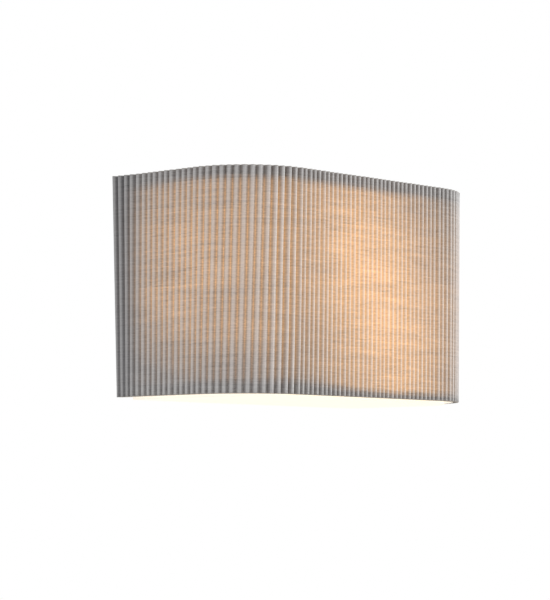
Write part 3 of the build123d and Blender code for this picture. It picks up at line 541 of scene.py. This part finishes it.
# ---------------------------------------------------------------- pleated cloth
FIXED_ENDS = 20 * MM       # folds keep their place this near the rear edges
LEAN_PEAK = 0.35           # where the folds lean most, as a share of the way round the left corner
LEAN_WIDTH = 0.13          # how far that reaches, as a share of the cloth's run
LEAN_LEAST = 0.18          # share of the lean that is left elsewhere
DEPTH_SPREAD = 0.05        # unevenness of the folds' depths
SPLAY_REACH = 25 * MM      # the left rear crests splay over this run
EASE_REACH = 40 * MM       # run over which the folds grow deeper towards the front
# How far the drift moves through its noise from fold to fold and over the height, and at which slice
DRIFT_STEP, DRIFT_CLIMB, DRIFT_SLICE = 0.37, 2.3, 4.0


class Plan:
    """The shade's plan as one line from the left rear edge round to the right rear edge."""

    def __init__(self, cloth):
        self.radius = cloth.corner_radius
        side = DEPTH - self.radius - WALL_GAP
        front = 2 * (HALF_WIDTH - self.radius)
        corner = math.pi / 2 * self.radius
        self.lengths = [side, corner, front, corner, side]
        self.counts = [cloth.side_pleats, cloth.corner_pleats, cloth.front_pleats,
                       cloth.corner_pleats, cloth.side_pleats]
        self.length = sum(self.lengths)
        self.pleats = sum(self.counts)

    def station(self, pleat):
        """Distance along the plan of a pleat number, which may be a fraction."""
        distance = 0.0
        for length, pleats in zip(self.lengths, self.counts):
            if pleat <= pleats:
                return distance + length * pleat / pleats
            pleat -= pleats
            distance += length
        return self.length

    def point(self, distance, inset):
        """A point at a distance along the plan, drawn in by inset."""
        side, corner, front = self.lengths[0], self.lengths[1], self.lengths[2]
        centre_x = HALF_WIDTH - self.radius
        centre_y = -(DEPTH - self.radius)
        radius = self.radius - inset
        if distance < side:
            return Vector((-HALF_WIDTH + inset, -WALL_GAP - distance, 0))
        distance -= side
        if distance < corner:
            turn = math.pi + distance / self.radius
            return Vector((-centre_x + radius * math.cos(turn), centre_y + radius * math.sin(turn), 0))
        distance -= corner
        if distance < front:
            return Vector((-centre_x + distance, -DEPTH + inset, 0))
        distance -= front
        if distance < corner:
            turn = -math.pi / 2 + distance / self.radius
            return Vector((centre_x + radius * math.cos(turn), centre_y + radius * math.sin(turn), 0))
        distance -= corner
        return Vector((HALF_WIDTH - inset, centre_y + distance, 0))


def fold_shape(pleat, cloth):
    """1 on a crest, at whole pleats, and 0 in a valley: broad rounded crests and tight valleys."""
    wave = math.asin(cloth.sharpness * math.cos(2 * math.pi * pleat)) / math.asin(cloth.sharpness)
    rise = 0.5 + 0.5 * wave
    return (1 - cloth.crown) * rise + cloth.crown * math.sin(math.pi / 2 * rise)


def held_at_ends(plan, distance):
    """1 over the cloth, falling to 0 at its rear edges, which are fixed to the uprights."""
    return max(0.0, min(1.0, distance / FIXED_ENDS, (plan.length - distance) / FIXED_ENDS))


def fold_lean(plan, distance):
    """Share of the full lean: most at the left corner, little at the right end, none at the rear edges."""
    peak = plan.lengths[0] + LEAN_PEAK * plan.lengths[1]
    width = LEAN_WIDTH * plan.length
    share = LEAN_LEAST + (1 - LEAN_LEAST) * math.exp(-((distance - peak) / width) ** 2)
    return share * held_at_ends(plan, distance)


def pleated_surface(cloth):
    """The pleated cloth as a grid bent into folds, and its developed width.

    Each vertex keeps its height in the fold, its run along the plan and how deep in a nook it lies.
    """
    plan = Plan(cloth)
    chance = random.Random(SEED)
    shifts = [chance.gauss(0, cloth.jitter) for _ in range(plan.pleats + 1)]
    depths = [1 + chance.gauss(0, DEPTH_SPREAD) for _ in range(plan.pleats + 1)]
    shifts[0] = shifts[-1] = 0.0
    columns = [column_of(plan, cloth, number) for number in range(steps_of(plan, cloth) + 1)]
    height = TOP - BOTTOM
    bm = bmesh.new()
    uv_layer = bm.loops.layers.uv.new("cloth")
    fold_layer = bm.verts.layers.float.new("fold")
    run_layer = bm.verts.layers.float.new("run")
    nook_layer = bm.verts.layers.float.new("nook")
    bmesh.ops.create_grid(bm, x_segments=len(columns) - 1, y_segments=cloth.rows, size=0.5)
    developed = developed_lengths(plan, cloth, columns)
    places = {}
    for vert in bm.verts:
        number = round((vert.co.x + 0.5) * (len(columns) - 1))
        rise = vert.co.y + 0.5
        places[vert] = (developed[number], rise * height)
        pleat, shape = columns[number]
        first = min(int(pleat), plan.pleats - 1)
        part = pleat - first
        depth = cloth.fold_depth * (depths[first] * (1 - part) + depths[first + 1] * part)
        distance = plan.station(pleat)
        hold = held_at_ends(plan, distance)
        distance += shifts[first] * (1 - part) + shifts[first + 1] * part
        distance -= cloth.lean * fold_lean(plan, distance) * (1 - rise)
        drift = noise.noise(Vector((first * DRIFT_STEP, rise * DRIFT_CLIMB, DRIFT_SLICE)))
        distance += cloth.wander * drift * hold
        distance = min(max(distance, 0.0), plan.length)
        splay = cloth.splay * max(0.0, 1 - distance / SPLAY_REACH)
        flare = (cloth.flare + splay) * (2 * rise - 1) * shape
        vert.co = plan.point(distance, cloth.fold_depth - depth * shape - flare)
        vert.co.z = BOTTOM + rise * height
        vert[fold_layer] = shape
        vert[run_layer] = distance - plan.length / 2
        vert[nook_layer] = max(0.0, 1 - 2 * fold_shape(pleat, cloth))
    for face in bm.faces:
        for loop in face.loops:
            loop[uv_layer].uv = places[loop.vert]
    bmesh.ops.recalc_face_normals(bm, faces=bm.faces)
    return bm, developed[-1]


def steps_of(plan, cloth):
    """Columns of faces in the whole cloth, with its two turned-in ends."""
    return plan.pleats * cloth.fold_steps + 2 * cloth.turned_in


def column_of(plan, cloth, number):
    """Where a column of the grid lies: its pleat number and its height in the fold.

    Folds are eased, and so shallower, on the sides and round the corners.
    """
    last = steps_of(plan, cloth)
    if number < cloth.turned_in:
        return 0.0, number / cloth.turned_in
    if number > last - cloth.turned_in:
        return float(plan.pleats), (last - number) / cloth.turned_in
    pleat = (number - cloth.turned_in) / cloth.fold_steps
    distance = plan.station(pleat)
    to_front = plan.lengths[0] + plan.lengths[1] - min(distance, plan.length - distance)
    eased = cloth.ease * max(0.0, min(1.0, to_front / EASE_REACH))
    return pleat, 1 - (1 - fold_shape(pleat, cloth)) * (1 - eased)


def developed_lengths(plan, cloth, columns):
    """Length of cloth from the left rear end to each column of the grid."""
    lengths = [0.0]
    last = None
    for pleat, shape in columns:
        here = plan.point(plan.station(pleat), cloth.fold_depth * (1 - shape))
        if last is not None:
            lengths.append(lengths[-1] + (here - last).length)
        last = here
    return lengths


class WALLLIGHT_OT_cloth(bpy.types.Operator):
    """Makes the pleated linen and hides the plain pleats of the frame"""
    bl_idname = "walllight.cloth"
    bl_label = "Pleated cloth"

    def execute(self, context):
        cloth = context.scene.walllight_cloth
        material = linen_material(cloth, context.scene.walllight_light, Plan(cloth).length / 2)
        bm, width = pleated_surface(cloth)
        piece = object_from(bm, "pleated_linen", material, "shade")
        wall = piece.modifiers.new("thickness", "SOLIDIFY")
        wall.thickness = cloth.thickness
        wall.offset = -1.0
        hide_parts("pleated_cover")
        return {"FINISHED"}


# ---------------------------------------------------------------- finishes of the frame's pieces
class WALLLIGHT_OT_shade_frame(bpy.types.Operator):
    """Finishes the lining, bands, uprights, ledges and diffuser"""
    bl_idname = "walllight.shade_frame"
    bl_label = "Shade frame and diffuser"

    def execute(self, context):
        light = context.scene.walllight_light
        dress(lining_material(light), "shade_liner")
        dress(powder_coat_material("powder_coat_frame", "#e4e2dc", light),
              "top_band", "upright_left", "upright_right")
        dress(powder_coat_material("powder_coat_lit", "#e4e2dc", light, light.band),
              "bottom_band", "diffuser_ledges")
        dress(opal_material(light), "diffuser")
        return {"FINISHED"}


class WALLLIGHT_OT_back_tray(bpy.types.Operator):
    """Finishes the back tray, cover plate, arm and their fasteners"""
    bl_idname = "walllight.back_tray"
    bl_label = "Back tray and arm"

    def execute(self, context):
        light = context.scene.walllight_light
        dress(powder_coat_material("powder_coat_tray", "#ecebe6", light),
              "back_tray", "cover_plate", "lamp_arm")
        dress(plated_material("zinc_plate", "#c6c9cb", 0.34), "hanging_pegs", "cover_standoffs",
              "cover_screws", "arm_screws", "arm_washers", "arm_nuts", "holder_nipple", "nipple_nut",
              "lock_washer", "earth_stud", "earth_washer", "earth_nut", "terminal_screws",
              "terminal_fixing_screws")
        dress(moulded_material("nylon_white", "#e6e4dc"), "cable_bush", "lead_bush")
        return {"FINISHED"}


class WALLLIGHT_OT_wiring(bpy.types.Operator):
    """Finishes the terminal block, leads and earth tag"""
    bl_idname = "walllight.wiring"
    bl_label = "Wiring"

    def execute(self, context):
        dress(moulded_material("nylon_natural", "#dcd8c8"), "terminal_block")
        dress(plated_material("brass_drawn", "#d8b56a", 0.3), "terminal_tubes", "earth_tag", "centre_contact")
        dress(moulded_material("insulation_brown", "#5d3622", 0.42), "live_lead")
        dress(moulded_material("insulation_blue", "#2c5fa6", 0.42), "neutral_lead")
        dress(two_colour_insulation(), "earth_lead")
        return {"FINISHED"}


class WALLLIGHT_OT_lampholder(bpy.types.Operator):
    """Finishes the lampholder and the lamp"""
    bl_idname = "walllight.lampholder"
    bl_label = "Lampholder and lamp"

    def execute(self, context):
        light = context.scene.walllight_light
        dress(moulded_material("thermoplastic_white", "#e9e6dd", 0.4), "lampholder_cap", "lampholder_body")
        dress(glazed_material(), "contact_block")
        dress(plated_material("nickel_plate", "#d5d1c8", 0.26), "thread_sleeve", "bulb_cap")
        dress(plated_material("solder", "#b4b4b2", 0.45), "bulb_contact")
        dress(vitreous_material(), "bulb_insulator")
        dress(lit_glass_material(light), "bulb_glass")
        return {"FINISHED"}


# ---------------------------------------------------------------- stage
KEY_PLACE = (2.4, -2.1, 1.2)       # to the right of the front, so that the crests catch it
FILL_PLACE = (-2.4, -0.9, 0.9)


def aimed(obj, target):
    """Turns a light or camera towards a point."""
    direction = Vector(target) - obj.location
    obj.rotation_euler = direction.to_track_quat("-Z", "Y").to_euler()


def softbox(name, where, watts, width, tint):
    data = bpy.data.lights.new(name, "AREA")
    data.shape = "SQUARE"
    data.size = width
    data.energy = watts
    data.color = linear(tint)[:3]
    lamp = bpy.data.objects.new(name, data)
    lamp.location = where
    bpy.context.scene.collection.objects.link(lamp)
    aimed(lamp, (0, -DEPTH / 2, 0))
    return lamp


def seen_directly(tree):
    """1 for rays from the camera, a mirror or through glass, else 0."""
    path = add_node(tree, "LightPath").outputs
    rays = add_node(tree, "Math", path["Is Camera Ray"], path["Is Glossy Ray"], operation="ADD")
    return add_node(tree, "Math", rays, path["Is Transmission Ray"], operation="ADD", use_clamp=True)


def make_world(settings):
    """Even white room light, seen by the camera as plain white."""
    world = bpy.data.worlds.new("white_room")
    world.use_nodes = True
    tree = world.node_tree
    strength = add_node(tree, "MapRange", seen_directly(tree), 0.0, 1.0, settings.sky, 1.0)
    connect(tree, tree.nodes["Background"], {"Color": (1, 1, 1, 1), "Strength": strength})
    bpy.context.scene.world = world


def floor_material():
    """Pale matt floor, which the camera sees as plain white further out."""
    material = bpy.data.materials.new("pale_floor")
    material.use_nodes = True
    tree = material.node_tree
    tree.nodes.remove(tree.nodes["Principled BSDF"])
    matt = add_node(tree, "BsdfDiffuse", linear("#f3f3f2"))
    white = add_node(tree, "Emission", (1, 1, 1, 1), 1.0)
    distance = add_node(tree, "VectorMath", add_node(tree, "TexCoord").outputs["Object"], operation="LENGTH")
    plain = add_node(tree, "MapRange", distance, 0.6, 1.6, 0.9, 1.0, **SMOOTH)
    seen = product(tree, add_node(tree, "LightPath").outputs["Is Camera Ray"], plain)
    # From below the floor is clear, so that the underside can be looked at
    surface = add_node(tree, "MixShader", add_node(tree, "NewGeometry").outputs["Backfacing"],
                       add_node(tree, "MixShader", seen, matt, white), add_node(tree, "BsdfTransparent"))
    connect(tree, tree.nodes["Material Output"], {"Surface": surface})
    return material


def make_floor(settings):
    """A floor well below the light, which keeps a faint shadow."""
    bm = bmesh.new()
    bmesh.ops.create_grid(bm, x_segments=1, y_segments=1, size=12.0)
    bmesh.ops.translate(bm, verts=bm.verts, vec=(0, 0, BOTTOM - settings.floor_drop))
    mesh = bpy.data.meshes.new("floor")
    bm.to_mesh(mesh)
    bm.free()
    mesh.materials.append(floor_material())
    floor = bpy.data.objects.new("floor", mesh)
    bpy.context.scene.collection.objects.link(floor)


def make_camera(settings):
    data = bpy.data.cameras.new("camera")
    data.lens = settings.lens
    data.sensor_width = 36.0
    data.clip_end = 50.0
    camera = bpy.data.objects.new("camera", data)
    camera.location = settings.camera_place
    level = Vector((math.sin(settings.heading), math.cos(settings.heading), 0))
    aim = level * math.cos(settings.tilt) + Vector((0, 0, math.sin(settings.tilt)))
    camera.rotation_euler = aim.to_track_quat("-Z", "Y").to_euler()
    bpy.context.scene.collection.objects.link(camera)
    bpy.context.scene.camera = camera


class WALLLIGHT_OT_stage(bpy.types.Operator):
    """Makes the camera, the floor, the room light and the softboxes"""
    bl_idname = "walllight.stage"
    bl_label = "Stage"

    def execute(self, context):
        settings = context.scene.walllight_stage
        make_camera(settings)
        make_world(settings)
        make_floor(settings)
        softbox("key", KEY_PLACE, settings.key, 1.6, "#ffffff")
        softbox("fill", FILL_PLACE, settings.fill, 1.4, "#f2f5ff")
        context.scene.view_settings.view_transform = "Standard"
        return {"FINISHED"}


class WALLLIGHT_PT_panel(bpy.types.Panel):
    """Lists the steps that dress the wall light"""
    bl_label = "Wall light"
    bl_space_type = "VIEW_3D"
    bl_region_type = "UI"
    bl_category = "Wall light"

    def draw(self, context):
        for operator in OPERATORS:
            self.layout.operator(operator.bl_idname)
        for group in ("walllight_cloth", "walllight_light", "walllight_stage"):
            settings = getattr(context.scene, group)
            for name in settings.__annotations__:
                self.layout.prop(settings, name)


OPERATORS = (WALLLIGHT_OT_stage, WALLLIGHT_OT_cloth, WALLLIGHT_OT_shade_frame, WALLLIGHT_OT_back_tray,
             WALLLIGHT_OT_wiring, WALLLIGHT_OT_lampholder)
CLASSES = (ClothSettings, LightSettings, StageSettings, *OPERATORS, WALLLIGHT_PT_panel)


def register():
    for made in CLASSES:
        bpy.utils.register_class(made)
    bpy.types.Scene.walllight_cloth = bpy.props.PointerProperty(type=ClothSettings)
    bpy.types.Scene.walllight_light = bpy.props.PointerProperty(type=LightSettings)
    bpy.types.Scene.walllight_stage = bpy.props.PointerProperty(type=StageSettings)


def unregister():
    del bpy.types.Scene.walllight_stage
    del bpy.types.Scene.walllight_light
    del bpy.types.Scene.walllight_cloth
    for made in reversed(CLASSES):
        bpy.utils.unregister_class(made)


def main():
    register()
    bpy.ops.walllight.stage()
    bpy.ops.walllight.cloth()
    bpy.ops.walllight.shade_frame()
    bpy.ops.walllight.back_tray()
    bpy.ops.walllight.wiring()
    bpy.ops.walllight.lampholder()


if __name__ == "__main__":
    main()
